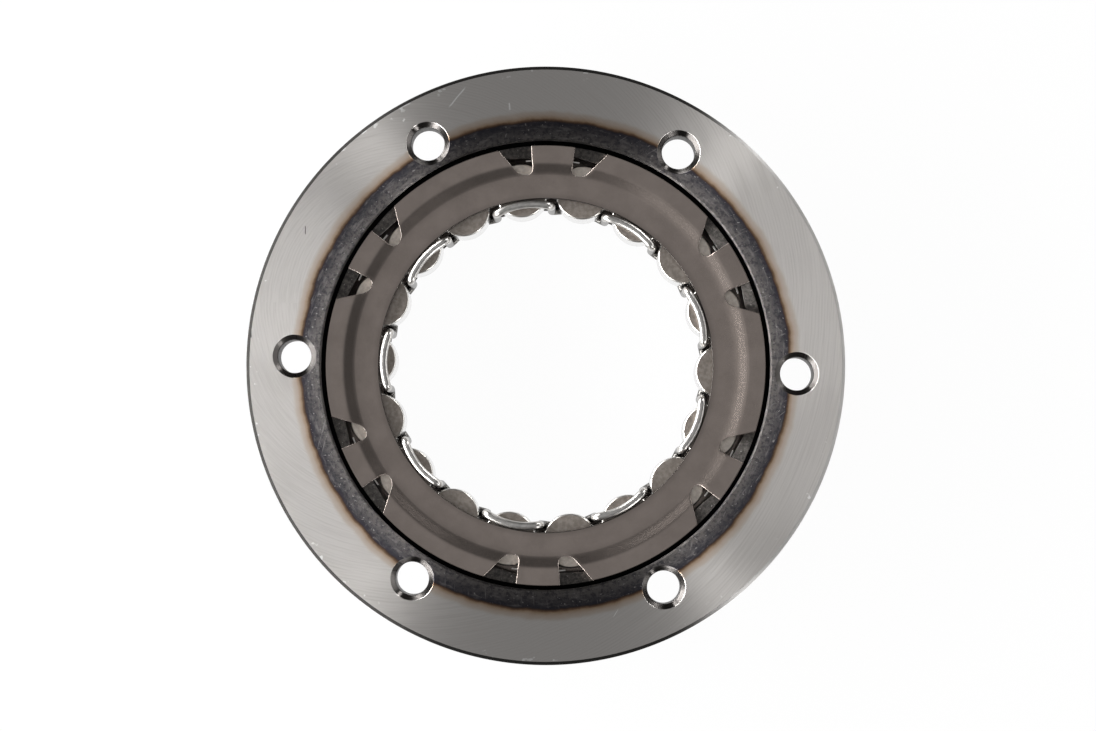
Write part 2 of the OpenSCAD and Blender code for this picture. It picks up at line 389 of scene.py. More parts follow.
# %% Housing: its section and mesh
EDGE, SINK_EDGE, SOFT_EDGE = 0.08, 0.1, 0.12  # blends
flange_z = total_h - flange_t
front_inner = seat_r + seat_chamfer + EDGE
rear_inner = barrel_r + root_fillet
face_outer = flange_r - edge_chamfer - EDGE
half_z = (total_h + flange_z) / 2


def hole_wall(entry_r, face_z, inwards):
    """Half of a bolt hole's section, from the face over the countersink to its middle."""
    return rounded(
        (entry_r + EDGE, face_z, 0),
        (entry_r, face_z, EDGE),
        (bolt_hole_r, face_z + inwards * (entry_r - bolt_hole_r), SINK_EDGE),
        (bolt_hole_r, half_z, 0),
    )


outer_wall = rounded(
    (face_outer, total_h, 0),
    (flange_r - edge_chamfer, total_h, EDGE),
    (flange_r, total_h - edge_chamfer, SOFT_EDGE),
    (flange_r, flange_z + edge_chamfer, SOFT_EDGE),
    (flange_r - edge_chamfer, flange_z, EDGE),
    (face_outer, flange_z, 0),
)
barrel_wall = rounded(
    (rear_inner, flange_z, 0),
    (barrel_r, flange_z, root_fillet),
    (barrel_r, edge_chamfer, SOFT_EDGE),
    (barrel_r - edge_chamfer, 0, SOFT_EDGE),
    (rear_seat_r + rear_chamfer, 0, EDGE),
    (rear_seat_r, rear_chamfer, EDGE),
    (rear_seat_r, rear_plate_t, 0),
)
seat_wall = rounded(
    (seat_r, seat_z - groove_depth, 0),
    (seat_r, total_h - seat_chamfer, EDGE),
    (seat_r + seat_chamfer, total_h, EDGE),
    (front_inner, total_h, 0),
)
ramps = ramp_radius(ring_degrees)
bore_rings = [  # radius, height
    (rear_seat_r, rear_plate_t),
    (ramps, rear_plate_t),
    (ramps, seat_z - bore_chamfer),
    (ramps + bore_chamfer, seat_z),
    (seat_r - groove_w - EDGE, seat_z),
    (seat_r - groove_w, seat_z - EDGE),
    (seat_r - groove_w, seat_z - groove_depth),
    (seat_r, seat_z - groove_depth),
]
bore = np.stack([polar(r, ring_degrees, z) for r, z in bore_rings])
housing_patches = [lathe(part, ring_degrees, False) for part in (outer_wall, barrel_wall, seat_wall)]
housing_patches.append((bore, grid_faces(len(bore), RING_POINTS, wrap_cols=True)))
for inner, outer, z, section in (
    (front_inner, face_outer, total_h, hole_wall(bolt_entry_r, total_h, -1)),
    (rear_inner, face_outer, flange_z, hole_wall(bolt_exit_r, flange_z, 1)),
):
    points, quads = drilled_face(inner, outer, z, section)
    housing_patches += [(turned_points(points, 2 * half_sector * i), quads) for i in range(SECTORS)]
housing = mesh_from("housing_forging", housing_patches)
report(housing)

# %% [markdown]
# The rear plate is a plain turned ring in the housing's back. Its thin lip keeps the spring in,
# and shows as a narrow line inside the bore. It is a lathe of one closed section.

# %% Rear plate
LATHE_POINTS = 240
lathe_degrees = np.arange(LATHE_POINTS) * 360 / LATHE_POINTS
lip_r = hub_r + lip_gap
rear_section = rounded(
    (lip_r, 0, EDGE),
    (rear_high[0], 0, EDGE),
    (rear_high[0], rear_plate_t, EDGE),
    (plate_bore_r, rear_plate_t, EDGE),
    (plate_bore_r, lip_t, EDGE),
    (lip_r, lip_t, EDGE),
    closed=True,
)
rear_ring = mesh_from("rear_ring", [lathe(rear_section, lathe_degrees, True)])
report(rear_ring)

# %% [markdown]
# The cage's front plate is pressed from sheet: a flat rim, a rounded step down and a flat
# annulus round the bore, with twelve notches punched through the rim and the step. Between the
# notches of a pair stands a narrow tab, and between the pairs a wide one. One could cut a lathe
# with booleans, but their long thin faces spoil the shading of the step. Here each tab is its
# own grid instead. Its rows follow the notch's outline, and its outermost columns and rows roll
# over the sheet's edge, which gives the thin bright lines beside the notches.

# %% Cage plate: the notch's outline and the sheet's two faces
CONE_FROM, CONE_TO = 0.5, 0.79
PLATE_EDGE = 0.1
PLATE_CREASE = 38
OUTLINE_ROWS = 34
ROLL = np.radians([90, 60, 30, 0])
notch_depth = 4.3
steep_degrees = half_pitch - 4.25
slope_degrees = half_pitch + 4.5
floor_degrees = half_pitch - 0.4
side_lean = 0.55
flare_depth = 0.5
flare_degrees = 1
side_blend = 1.2
floor_blend = 0.95
rim_blend = 0.4
OUT_REACH = 1  # how far an outline runs on past the rim


def blend_corner(a, b, c, before, after, points=6):
    """Corner b between a and c as a curve that starts `before` ahead of it and ends `after` past it."""
    p = b + before * (a - b) / np.linalg.norm(a - b)
    q = b + after * (c - b) / np.linalg.norm(c - b)
    return corner_curve(p, b, q, points)


def notch_side(foot_degrees, rim_degrees, out_degrees):
    """Outline of one side of a notch, from its round bottom out to the rim, as x and y. Angles
    count from the tab's middle; the bottom's middle lies at notch_bottom."""
    radii = rim_r - np.array([notch_depth, notch_depth, flare_depth, -OUT_REACH])
    degrees = [notch_bottom, foot_degrees, rim_degrees, out_degrees]
    bottom, foot, rim, out = polar(radii, degrees, 0)[:, :2]
    reach = min(floor_blend, np.linalg.norm(bottom - foot))
    line = np.concatenate(
        [
            bottom[None],
            blend_corner(bottom, foot, rim, reach, side_blend, 12),
            blend_corner(foot, rim, out, rim_blend, rim_blend),
            out[None],
        ]
    )
    return line[np.concatenate([[True], np.linalg.norm(np.diff(line, axis=0), axis=1) > 1e-6])]


notch_bottom = (steep_degrees + floor_degrees) / 2
tab_side = notch_side(steep_degrees, steep_degrees, steep_degrees)
wide_side = notch_side(floor_degrees, slope_degrees - side_lean, slope_degrees + flare_degrees)


def step_height(radius, shift):
    """Height of the sheet's face above the dish. Its slope grows evenly up to CONE_FROM of the
    step's width, stays up to CONE_TO and falls evenly to the rim, so the height is a parabola,
    a straight cone and a short parabola."""
    t = np.clip((radius - (step_r - step_w + shift)) / step_w, 0, 1)
    foot = np.minimum(t, CONE_FROM) ** 2 / (2 * CONE_FROM)
    cone = np.clip(t - CONE_FROM, 0, CONE_TO - CONE_FROM)
    left = 1 - np.maximum(t, CONE_TO)
    shoulder = ((1 - CONE_TO) - left**2 / (1 - CONE_TO)) / 2
    whole = CONE_FROM / 2 + (CONE_TO - CONE_FROM) + (1 - CONE_TO) / 2
    return dish_depth * (foot + cone + shoulder) / whole


lean_out = sheet_t * math.tan(math.atan(dish_depth / step_w) / 2)


def top_height(radius):
    return plate_top + step_height(radius, 0)


def under_height(radius):
    return plate_top - sheet_t + step_height(radius, lean_out)


# %% Cage plate: the tabs and the annulus
def outline_rows(line):
    """Outline from the notch's bottom to the rim at even steps, then over the rim's edge, with
    each row's direction square to the outline and how far the rim rolls down there."""
    length = np.concatenate([[0], np.cumsum(np.linalg.norm(np.diff(line, axis=0), axis=1))])
    radius = np.hypot(line[:, 0], line[:, 1])
    over = ROLL[2::-1]
    at = np.interp(
        np.concatenate([[rim_r - PLATE_EDGE], rim_r - PLATE_EDGE * (1 - np.sin(over))]), radius, length
    )
    at = np.concatenate([np.linspace(0, at[0], OUTLINE_ROWS), at[1:]])
    fall = np.concatenate([np.zeros(OUTLINE_ROWS), over])
    return np.stack([np.interp(at, length, line[:, k]) for k in (0, 1)], axis=-1), fall


def radius_and_degrees(points):
    """Radius and angle of plane points."""
    x, y = points[..., 0], points[..., 1]
    return np.stack([np.hypot(x, y), np.degrees(np.arctan2(y, x))], axis=-1)


def tab_grid(middle, half_line_a, half_line_b, columns):
    """Both faces of one tab between its two notch sides, as one closed strip per row: over the
    top from side a to side b, and back underneath. The first columns roll over the side's edge:
    they lie PLATE_EDGE (1 - sin a) inside it and PLATE_EDGE (1 - cos a) below the face."""
    rows = []
    for line in (half_line_a, half_line_b):
        points, fall = outline_rows(line)
        along = np.gradient(points, axis=0)
        along /= np.linalg.norm(along, axis=1)[:, None]
        inward = np.stack([along[:, 1], -along[:, 0]], axis=-1)
        middle_at = polar(rim_r, middle, 0)[:2]
        inward *= np.sign(((middle_at - points[-1]) * inward[-1]).sum())
        inward[0] = -points[0] / np.linalg.norm(points[0])
        inset = points[:, None] + PLATE_EDGE * (1 - np.sin(ROLL))[None, :, None] * inward[:, None]
        rows.append((inset, fall))
    (a, fall), (b, _) = rows
    a_polar, b_polar = radius_and_degrees(a), radius_and_degrees(b)
    t = np.linspace(0, 1, columns + 1)[None, 1:-1, None]
    inner = a_polar[:, -1:] + (b_polar[:, -1:] - a_polar[:, -1:]) * t
    sheet = np.concatenate([a_polar, inner, b_polar[:, ::-1]], axis=1)
    roll = np.concatenate([ROLL, np.zeros(columns - 1), ROLL[::-1]])
    drop = PLATE_EDGE * (1 - np.cos(roll)[None, :] * np.cos(fall)[:, None])
    radius, degrees = sheet[..., 0], sheet[..., 1]
    top = polar(radius, degrees, top_height(radius) - drop)
    under = polar(radius, degrees, under_height(radius) + drop)
    return np.concatenate([top, under[:, ::-1]], axis=1), sheet[0, 3:-3]


def mirrored(line):
    return line * np.array([1, -1])


def turned_line(line, degrees):
    return turned_points(np.column_stack([line, np.zeros(len(line))]), degrees)[:, :2]


plate_patches = []
ring_at = []
TAB_COLUMNS, WIDE_COLUMNS = 12, 44
narrow, narrow_ring = tab_grid(0, mirrored(tab_side), tab_side, TAB_COLUMNS)
wide, wide_ring = tab_grid(
    tab_pitch / 2, wide_side, turned_line(mirrored(wide_side), tab_pitch), WIDE_COLUMNS
)
for i in range(tab_count):
    turn = tab_pitch * (i + 0.5)
    for block, ring in ((narrow, narrow_ring), (wide, wide_ring)):
        rows, cols = block.shape[:2]
        plate_patches.append((turned_points(block, turn), grid_faces(rows, cols, wrap_cols=True)))
        ring_at.append(ring[:-1, 1] + turn)
        rim_top = block[-1, : cols // 2]
        rim_under = block[-1, cols // 2 :][::-1]
        wall = np.stack([rim_top, rim_under])
        plate_patches.append((turned_points(wall, turn), grid_faces(2, cols // 2)))
ring_at = np.concatenate(ring_at)
ring_outer = narrow_ring[0, 0]
annulus = rounded(
    (ring_outer, under_height(ring_outer), 0),
    (step_r - step_w, plate_top - sheet_t, 0),
    (plate_bore_r, plate_top - sheet_t, PLATE_EDGE),
    (plate_bore_r, plate_top, PLATE_EDGE),
    (step_r - step_w, plate_top, 0),
    (ring_outer, top_height(ring_outer), 0),
)
plate_patches.append(lathe(annulus, ring_at, False))
plate_piece = mesh_from("cage_sheet", plate_patches, PLATE_CREASE)
report(plate_piece)


def vertex_places(piece):
    """Vertex coordinates of a piece, in millimetres."""
    flat = np.zeros(3 * len(piece.data.vertices))
    piece.data.vertices.foreach_get("co", flat)
    return flat.reshape(-1, 3) / MM


def paint(piece, name, values):
    """Stores one number per vertex under a name that the piece's material reads."""
    layer = piece.data.attributes.new(name, "FLOAT", "POINT")
    layer.data.foreach_set("value", np.ascontiguousarray(values, dtype=np.float32))


CUT_FROM = 0.2
place = vertex_places(plate_piece)
radius = np.hypot(place[:, 0], place[:, 1])
below = np.minimum(top_height(radius) - place[:, 2], place[:, 2] - under_height(radius))
paint(plate_piece, "cut_edge", (below > CUT_FROM * PLATE_EDGE).astype(float))

# %% [markdown]
# The rollers are hardened pins with ground flat ends. Only their end faces show in the notches
# and between the plate and the bore. Each is a lathe about its own axis, put straight into its
# place, and stores how far a point lies from its axis, so that the finish can tell the worn
# corner from the flat end.

# %% Rollers
ROLLER_POINTS = 64
ROLLER_TURN = 37  # degrees from one roller to the next about its own axis
around = np.arange(ROLLER_POINTS) * 360 / ROLLER_POINTS
roller_section = rounded(
    (0, roller_z, 0),
    (roller_r - roller_chamfer, roller_z, SOFT_EDGE),
    (roller_r, roller_z + roller_chamfer, SOFT_EDGE),
    (roller_r, roller_top - roller_chamfer, SOFT_EDGE),
    (roller_r - roller_chamfer, roller_top, SOFT_EDGE),
    (0, roller_top, 0),
)
roller_shape, roller_quads = lathe(roller_section, around, False)
rollers = []
for i in range(roller_count):
    shape = turned_points(roller_shape, ROLLER_TURN * i) + np.array([pitch_r, 0, 0])
    piece = mesh_from(f"roller_pin_{i + 1:02d}", [(turned_points(shape, pitch * i), roller_quads)])
    centre = turned_points(np.array([pitch_r, 0, 0]), pitch * i)
    place = vertex_places(piece) - centre
    paint(piece, "from_axis", np.hypot(place[:, 0], place[:, 1]) / roller_r)
    rollers.append(piece)
report(rollers[0])

# %% [markdown]
# One endless wire presses all the rollers into their ramps. It zigzags: a leg between two
# rollers, a bow in front of the one, a leg, and a bow behind the next. Its middle line is made
# of arcs that meet without a kink, and a round section is carried along it.

# %% Roller spring
WIRE_SIDES, BEND_POINTS, BOW_POINTS = 16, 7, 15
WIRE_CREASE = 60
leg_x, leg_y, _ = polar(leg_r, half_pitch, 0)
bow_turn = 2 * math.atan((bow_r - leg_x) / (leg_y + wire_bend))
bow_bend = (leg_y - wire_bend * math.cos(bow_turn)) / math.sin(bow_turn)
bow_x = leg_x + wire_bend * math.sin(bow_turn) - bow_bend * math.cos(bow_turn)


def wire_bow(z, end):
    """Middle line over one roller, in that roller's frame: a quarter bend up out of the leg,
    bend ((1 - cos s) u + sin s z), an arc of the bow round (bow_x, 0), and the bend down again."""
    s = np.linspace(0, np.pi / 2, BEND_POINTS)
    parts = []
    for side in (-1, 1):
        u = np.array([math.sin(bow_turn), -side * math.cos(bow_turn), 0])
        foot = np.array([leg_x, side * leg_y, z - end * wire_bend])
        up_z = np.array([0, 0, end])
        parts.append(foot + wire_bend * ((1 - np.cos(s))[:, None] * u + np.sin(s)[:, None] * up_z))
    a = np.linspace(-bow_turn, bow_turn, BOW_POINTS)[1:-1]
    arc = np.stack([bow_x + bow_bend * np.cos(a), bow_bend * np.sin(a), np.full(len(a), z)], axis=-1)
    return np.concatenate([parts[0], arc, parts[1][::-1]])


def tube(line, radius, sides):
    """Closed tube: a circle on the two directions square to the line, the first of them the one
    nearest to straight out from the axis."""
    ahead = np.roll(line, -1, axis=0) - np.roll(line, 1, axis=0)
    ahead /= np.linalg.norm(ahead, axis=1)[:, None]
    out = line * np.array([1, 1, 0])
    out /= np.linalg.norm(out, axis=1)[:, None]
    out -= (out * ahead).sum(axis=1)[:, None] * ahead
    out /= np.linalg.norm(out, axis=1)[:, None]
    side = np.cross(ahead, out)
    a = np.arange(sides) * 2 * np.pi / sides
    points = line[:, None] + radius * (
        np.cos(a)[None, :, None] * out[:, None] + np.sin(a)[None, :, None] * side[:, None]
    )
    return points, grid_faces(len(line), sides, wrap_rows=True, wrap_cols=True)


wire_line = np.concatenate(
    [
        turned_points(wire_bow(front_bow_z, 1) if i % 2 else wire_bow(rear_bow_z, -1), pitch * i)
        for i in range(roller_count)
    ]
)
wire_piece = mesh_from("zigzag_wire", [tube(wire_line, wire_d / 2, WIRE_SIDES)], WIRE_CREASE)
report(wire_piece)

# %% [markdown]
# A short strip of spring steel lies under each narrow tab, and its two bright ends look out
# into the notches. It is a small rounded section carried round a few degrees, with closed ends.

# %% Tab clips
CLIP_EDGE = 0.06
CLIP_POINTS = 17
clip_r = ramp_r - clip_gap
clip_reach = half_pitch - clip_short
clip_corners = [
    (clip_r - clip_w, clip_low[2]),
    (clip_r, clip_low[2]),
    (clip_r, clip_high[2]),
    (clip_r - clip_w, clip_high[2]),
]
clip_section = rounded(*((r, z, CLIP_EDGE) for r, z in clip_corners), closed=True)
clip_middle = np.array([clip_r - clip_w / 2, (clip_low[2] + clip_high[2]) / 2])
clip_at = np.linspace(-clip_reach, clip_reach, CLIP_POINTS)
clips = []
for i in range(tab_count):
    turn = tab_pitch * (i + 0.5)
    strip = polar(clip_section[:, :1], clip_at[None, :] + turn, clip_section[:, 1:])
    patches = [(strip, grid_faces(*strip.shape[:2], wrap_rows=True))]
    for end in (clip_at[0], clip_at[-1]):
        shrunk = np.stack([clip_middle + (clip_section - clip_middle) * k for k in (1, 0)])
        cap = polar(shrunk[..., 0], end + turn, shrunk[..., 1])
        patches.append((cap, grid_faces(2, len(clip_section), wrap_cols=True)))
    clips.append(mesh_from(f"clip_strip_{i + 1}", patches))
report(clips[0])

# %% [markdown]
# Each piece now says which body carries it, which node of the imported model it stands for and
# which finish it takes.

# %% Bodies, nodes and finishes of the pieces
dressed = [
    (housing, "housing", "clutch_outer", "housing_steel"),
    (rear_ring, "housing", "rear_plate", "plate_steel"),
    (plate_piece, "cage", "cage_plate", "plate_steel"),
    (wire_piece, "cage", "roller_spring", "spring_wire"),
]
for i, piece in enumerate(rollers):
    dressed.append((piece, f"roller_{i + 1:02d}", f"roller_{i + 1:02d}", "roller_steel"))
for i, piece in enumerate(clips):
    dressed.append((piece, "cage", f"tab_clip_{i + 1}", "spring_strip"))
for piece, body, node, finish in dressed:
    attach(piece, body)
    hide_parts(node)
print("pieces:", len(dressed))

# %% [markdown]
# Every finish here is built from a few shared effects, so each effect is a node group with
# named inputs. The groups only give masks and values. The shader itself stays in the material,
# where its fixed settings can be read at a glance. Places are read from Object coordinates in
# millimetres, so a pattern keeps its real size. Most helpers find their node tree from the
# sockets that they are given.

# %% Helpers that build nodes


def add(tree, kind, inputs=None, **settings):
    """Adds a node with its settings, and joins or fills its inputs."""
    made = tree.nodes.new(kind)
    for key, value in settings.items():
        setattr(made, key, value)
    for key, value in (inputs or {}).items():
        if isinstance(value, bpy.types.NodeSocket):
            tree.links.new(value, made.inputs[key])
        else:
            made.inputs[key].default_value = value
    return made


def tree_of(values):
    """The tree that the first socket among some values belongs to."""
    return next(v for v in values if isinstance(v, bpy.types.NodeSocket)).id_data


def calc(operation, *values, clamp=False):
    """One Math node, and its result."""
    settings = {"operation": operation, "use_clamp": clamp}
    return add(tree_of(values), "ShaderNodeMath", dict(enumerate(values)), **settings).outputs[0]


def vector_calc(operation, *values):
    """One Vector Math node, and its result."""
    inputs = dict(enumerate(values))
    return add(tree_of(values), "ShaderNodeVectorMath", inputs, operation=operation).outputs[0]


def mix_colour(factor, a, b):
    """One colour Mix node, and its result."""
    a, b = (v if isinstance(v, bpy.types.NodeSocket) else (*v, 1) for v in (a, b))
    inputs = {0: factor, 6: a, 7: b}
    return add(factor.id_data, "ShaderNodeMix", inputs, data_type="RGBA").outputs[2]


def ramp(value, low, high, to_low=0.0, to_high=1.0):
    """One smooth Map Range node from low..high to to_low..to_high, and its result."""
    inputs = {0: value, 1: low, 2: high, 3: to_low, 4: to_high}
    return add(value.id_data, "ShaderNodeMapRange", inputs, interpolation_type="SMOOTHSTEP").outputs[0]


def noise(place, scale, detail, roughness=0.5):
    """One Noise texture at a place in millimetres, and its value."""
    inputs = {"Vector": place, "Scale": scale, "Detail": detail, "Roughness": roughness}
    return add(place.id_data, "ShaderNodeTexNoise", inputs).outputs[0]


def times(a, b):
    """Product of two values."""
    return calc("MULTIPLY", a, b)


def plus(a, b):
    """Sum of two values."""
    return calc("ADD", a, b)


def minus(a, b):
    """Difference of two values."""
    return calc("SUBTRACT", a, b)


def scaled(value, factor, start):
    """A value times a factor, plus a start."""
    return calc("MULTIPLY_ADD", value, factor, start)


def length_of(x, y):
    """Length of a plane vector."""
    return calc("SQRT", plus(calc("POWER", x, 2.0), calc("POWER", y, 2.0)))


def spaced(inputs):
    """The same inputs, with their names written with spaces."""
    return {key.replace("_", " "): value for key, value in inputs.items()}


def new_group(name, outputs, **inputs):
    """Empty node group with a Place and other inputs, given as name=default, and its outputs."""
    group = bpy.data.node_groups.new(name, "ShaderNodeTree")
    group.interface.new_socket("Place", in_out="INPUT", socket_type="NodeSocketVector")
    for key, default in spaced(inputs).items():
        socket = group.interface.new_socket(key, in_out="INPUT", socket_type="NodeSocketFloat")
        socket.default_value = default
    for key in outputs:
        group.interface.new_socket(key, in_out="OUTPUT", socket_type="NodeSocketFloat")
    start = group.nodes.new("NodeGroupInput").outputs
    end = group.nodes.new("NodeGroupOutput").inputs
    return group, start["Place"], start, end


def give(end, **results):
    """Joins a group's results to its outputs by name."""
    for key, value in spaced(results).items():
        value.id_data.links.new(value, end[key])


def use(group, place, **inputs):
    """One use of a node group at a place, with its other inputs given by name, and its outputs."""
    inputs = {"Place": place} | spaced(inputs)
    return add(place.id_data, "ShaderNodeGroup", inputs, node_tree=group).outputs


# %% [markdown]
# A turned part is easiest to describe by radius and angle, so the first group turns a place
# into those. The second gives the marks of a grinding wheel: long scratches round a centre
# that isn't the part's own, and the wheel's even feed lines between them, which a slow noise
# shifts a little. The third tells how far a place lies from the nearest bolt hole.

# %% Node groups: place, grinding marks and distance from a hole
FULL_TURN = 2 * math.pi
HOLE_STEP = FULL_TURN / SECTORS
FEED_DRIFT = 3.0

polar_group, place, start, end = new_group("polar_place", ["Radius", "Angle", "Height"])
x, y, z = add(polar_group, "ShaderNodeSeparateXYZ", {0: place}).outputs
give(end, Radius=length_of(x, y), Angle=calc("ARCTAN2", y, x), Height=z)

marks_group, place, start, end = new_group(
    "grinding_marks",
    ["Marks", "Feed lines"],
    Centre_X=0.0,
    Centre_Y=0.0,
    Density=5.0,
    Length=6.0,
    Feed=0.45,
)
inputs = {0: start["Centre X"], 1: start["Centre Y"]}
centre = add(marks_group, "ShaderNodeCombineXYZ", inputs).outputs[0]
from_centre = use(polar_group, vector_calc("SUBTRACT", place, centre))
outward = times(from_centre["Radius"], start["Density"])
along = times(from_centre["Angle"], start["Length"])
drawn = add(marks_group, "ShaderNodeCombineXYZ", {0: outward, 1: along, 2: 0.0}).outputs[0]
drift = times(noise(place, 0.12, 2.0), FEED_DRIFT)
feeds = calc("DIVIDE", from_centre["Radius"], start["Feed"])
wave = calc("SINE", times(plus(feeds, drift), FULL_TURN))
give(end, Marks=noise(drawn, 1.0, 5.0, 0.65), Feed_lines=scaled(wave, 0.5, 0.5))

hole_group, place, start, end = new_group("hole_distance", ["Distance"])
found = use(polar_group, place)
turns = calc("DIVIDE", found["Angle"], HOLE_STEP)
folded = times(minus(turns, calc("ROUND", turns)), HOLE_STEP)
ahead = times(found["Radius"], calc("COSINE", folded))
aside = times(found["Radius"], calc("SINE", folded))
give(end, Distance=length_of(minus(ahead, bolt_r), aside))
print("groups:", [group.name for group in bpy.data.node_groups])

# %% [markdown]
# The last two groups are wear. One sprinkles small spots: a noise passes where it rises over a
# limit, and Amount lowers that limit. The other is one single scratch at X and Y, turned from
# the X axis by Turn. Its mask fades towards its two ends and its two sides, and a noise bends
# its middle line, so that it never looks ruled.

# %% Node groups: spots and a scratch
SPOT_LIMIT, LIMIT_FALL, SPOT_EDGE = 0.8, 0.5, 0.05
FULL_LENGTH, FULL_WIDTH = 0.6, 0.3  # shares of a scratch at full strength

speck_group, place, start, end = new_group("specks", ["Mask"], Scale=2.0, Amount=0.3)
grain = noise(place, start["Scale"], 2.0)
limit = minus(SPOT_LIMIT, times(start["Amount"], LIMIT_FALL))
give(end, Mask=ramp(minus(grain, limit), 0.0, SPOT_EDGE))

rub_group, place, start, end = new_group(
    "rub", ["Mask"], X=0.0, Y=0.0, Turn=0.0, Length=2.0, Width=0.3
)
x, y, z = add(rub_group, "ShaderNodeSeparateXYZ", {0: place}).outputs
x, y = minus(x, start["X"]), minus(y, start["Y"])
cosine, sine = calc("COSINE", start["Turn"]), calc("SINE", start["Turn"])
along = plus(times(x, cosine), times(y, sine))
aside = minus(times(y, cosine), times(x, sine))
bend = minus(noise(place, 0.5, 4.0, 0.6), 0.5)
aside = plus(aside, times(bend, start["Width"]))
far = calc("DIVIDE", calc("ABSOLUTE", along), times(start["Length"], 0.5))
off = calc("DIVIDE", calc("ABSOLUTE", aside), times(start["Width"], 0.5))
in_length = ramp(far, FULL_LENGTH, 1.0, 1.0, 0.0)
give(end, Mask=times(in_length, ramp(off, FULL_WIDTH, 1.0, 1.0, 0.0)))
print("groups:", [group.name for group in bpy.data.node_groups])


def new_material(name, pieces):
    """Material on some pieces: its nodes, its Principled shader and its place in millimetres."""
    material = bpy.data.materials.new(name)
    material.use_nodes = True
    tree = material.node_tree
    tree.nodes.clear()
    shader = tree.nodes.new("ShaderNodeBsdfPrincipled")
    output = tree.nodes.new("ShaderNodeOutputMaterial")
    tree.links.new(shader.outputs[0], output.inputs[0])
    here = add(tree, "ShaderNodeTexCoord").outputs["Object"]
    place = vector_calc("SCALE", here)
    place.node.inputs["Scale"].default_value = 1 / MM
    for piece in pieces:
        piece.data.materials.append(material)
    return tree, shader, place


def bumped(height, strength, depth):
    """Normal of a fine relief, with its depth in metres."""
    inputs = {"Strength": strength, "Distance": depth, "Height": height}
    return add(height.id_data, "ShaderNodeBump", inputs).outputs[0]


def set_shader(shader, **inputs):
    """Fills or joins inputs of the Principled shader by name. All the pieces are metal."""
    for key, value in spaced(inputs | {"Metallic": 1.0}).items():
        if isinstance(value, bpy.types.NodeSocket):
            shader.id_data.links.new(value, shader.inputs[key])
        else:
            shader.inputs[key].default_value = value


# %% [markdown]
# The housing is turned and then ground across its face. Turning leaves fine grooves round the
# axis, which spread a reflection straight outwards and give the bright wedges on the flange.
# The shader gets them as anisotropy, with a tangent that points straight away from the axis.
# The grinding marks are a fine relief on top, and also make the bare steel a little lighter
# and darker. Their feed lines come and go in patches, as in the photograph.

# %% Finish of the housing: the ground face
BARE_STEEL = (0.55, 0.525, 0.50), (0.63, 0.605, 0.58)
FEED_SHARE = 0.16

tree, shader, place = new_material("turned_steel", [housing])
polar_out = use(polar_group, place)
radius_mm, height_mm = polar_out["Radius"], polar_out["Height"]


def wheel_marks(x, y, density, length):
    """Grinding marks round a centre at x and y, in the material that is being built."""
    return use(marks_group, place, Centre_X=x, Centre_Y=y, Density=density, Length=length)


cup = wheel_marks(-20.0, 8.0, 4.5, 4.0)
patches = ramp(noise(place, 0.09, 2.0), 0.36, 0.54)
marks = scaled(times(cup["Feed lines"], patches), FEED_SHARE, cup["Marks"])
turned = wheel_marks(0.0, 0.0, 9.0, 4.0)["Marks"]
tone = ramp(marks, 0.3, 0.7)
bare = mix_colour(tone, *BARE_STEEL)
print("ground face:", len(tree.nodes), "nodes")

# %% [markdown]
# Hardening the seat has left a blue-black band round it, with a thin straw and brown fringe
# outside. A colour ramp over the radius gives these tints, and a slow noise pushes the radius
# in and out, so that the fringe wanders. On the band lie pale clouds, dark mottling, streaks
# worn by turning, and grit with scratches that cross it.

# %% Finish of the housing: the heated band
HEAT_FROM, HEAT_TO = seat_r, 38.5
HEAT_STOPS = [  # radius, colour
    (33.85, (0.09, 0.085, 0.08)),
    (34.05, (0.16, 0.15, 0.142)),
    (35.0, (0.12, 0.112, 0.112)),
    (35.9, (0.062, 0.06, 0.067)),
    (36.4, (0.04, 0.039, 0.05)),
    (36.62, (0.055, 0.038, 0.033)),
    (36.85, (0.17, 0.105, 0.065)),
    (37.1, (0.38, 0.28, 0.20)),
    (37.5, (0.48, 0.40, 0.335)),
    (38.2, (0.55, 0.505, 0.46)),
]
BAND_FROM, BAND_TO = 36.2, 36.7
WANDER = 1.1
CLOUD, MOTTLE = (0.15, 0.13, 0.125), (0.04, 0.038, 0.046)
WORN, SCRATCHED = (0.235, 0.22, 0.215), (0.30, 0.285, 0.28)

wandered = scaled(minus(noise(place, 0.22, 4.0, 0.6), 0.5), WANDER, radius_mm)
heat = calc("DIVIDE", minus(wandered, HEAT_FROM), HEAT_TO - HEAT_FROM, clamp=True)
heat_ramp = add(tree, "ShaderNodeValToRGB", {0: heat})
stops = heat_ramp.color_ramp.elements
while len(stops) < len(HEAT_STOPS):
    stops.new(0.5)
for stop, (at_mm, rgb) in zip(stops, HEAT_STOPS):
    stop.position = (at_mm - HEAT_FROM) / (HEAT_TO - HEAT_FROM)
    stop.color = (*rgb, 1)
on_face = ramp(height_mm, total_h - 0.4, total_h - 0.2)
tinted = times(on_face, ramp(wandered, HEAT_TO - 0.6, HEAT_TO, 1.0, 0.0))
band = times(on_face, ramp(wandered, BAND_FROM, BAND_TO, 1.0, 0.0))
cloudy = ramp(noise(place, 1.1, 5.0, 0.7), 0.4, 0.7, 0.0, 0.35)
mottled = ramp(noise(place, 1.5, 6.0, 0.75), 0.54, 0.4, 0.0, 0.75)
worn = ramp(wheel_marks(0.0, 0.0, 1.5, 14.0)["Marks"], 0.5, 0.68, 0.0, 0.55)
grit = use(speck_group, place, Scale=2.4, Amount=0.26)["Mask"]
crossing = ramp(wheel_marks(55.0, -30.0, 2.2, 9.0)["Marks"], 0.62, 0.70, 0.0, 0.6)
scratches = calc("MAXIMUM", grit, crossing)
heated = heat_ramp.outputs[0]
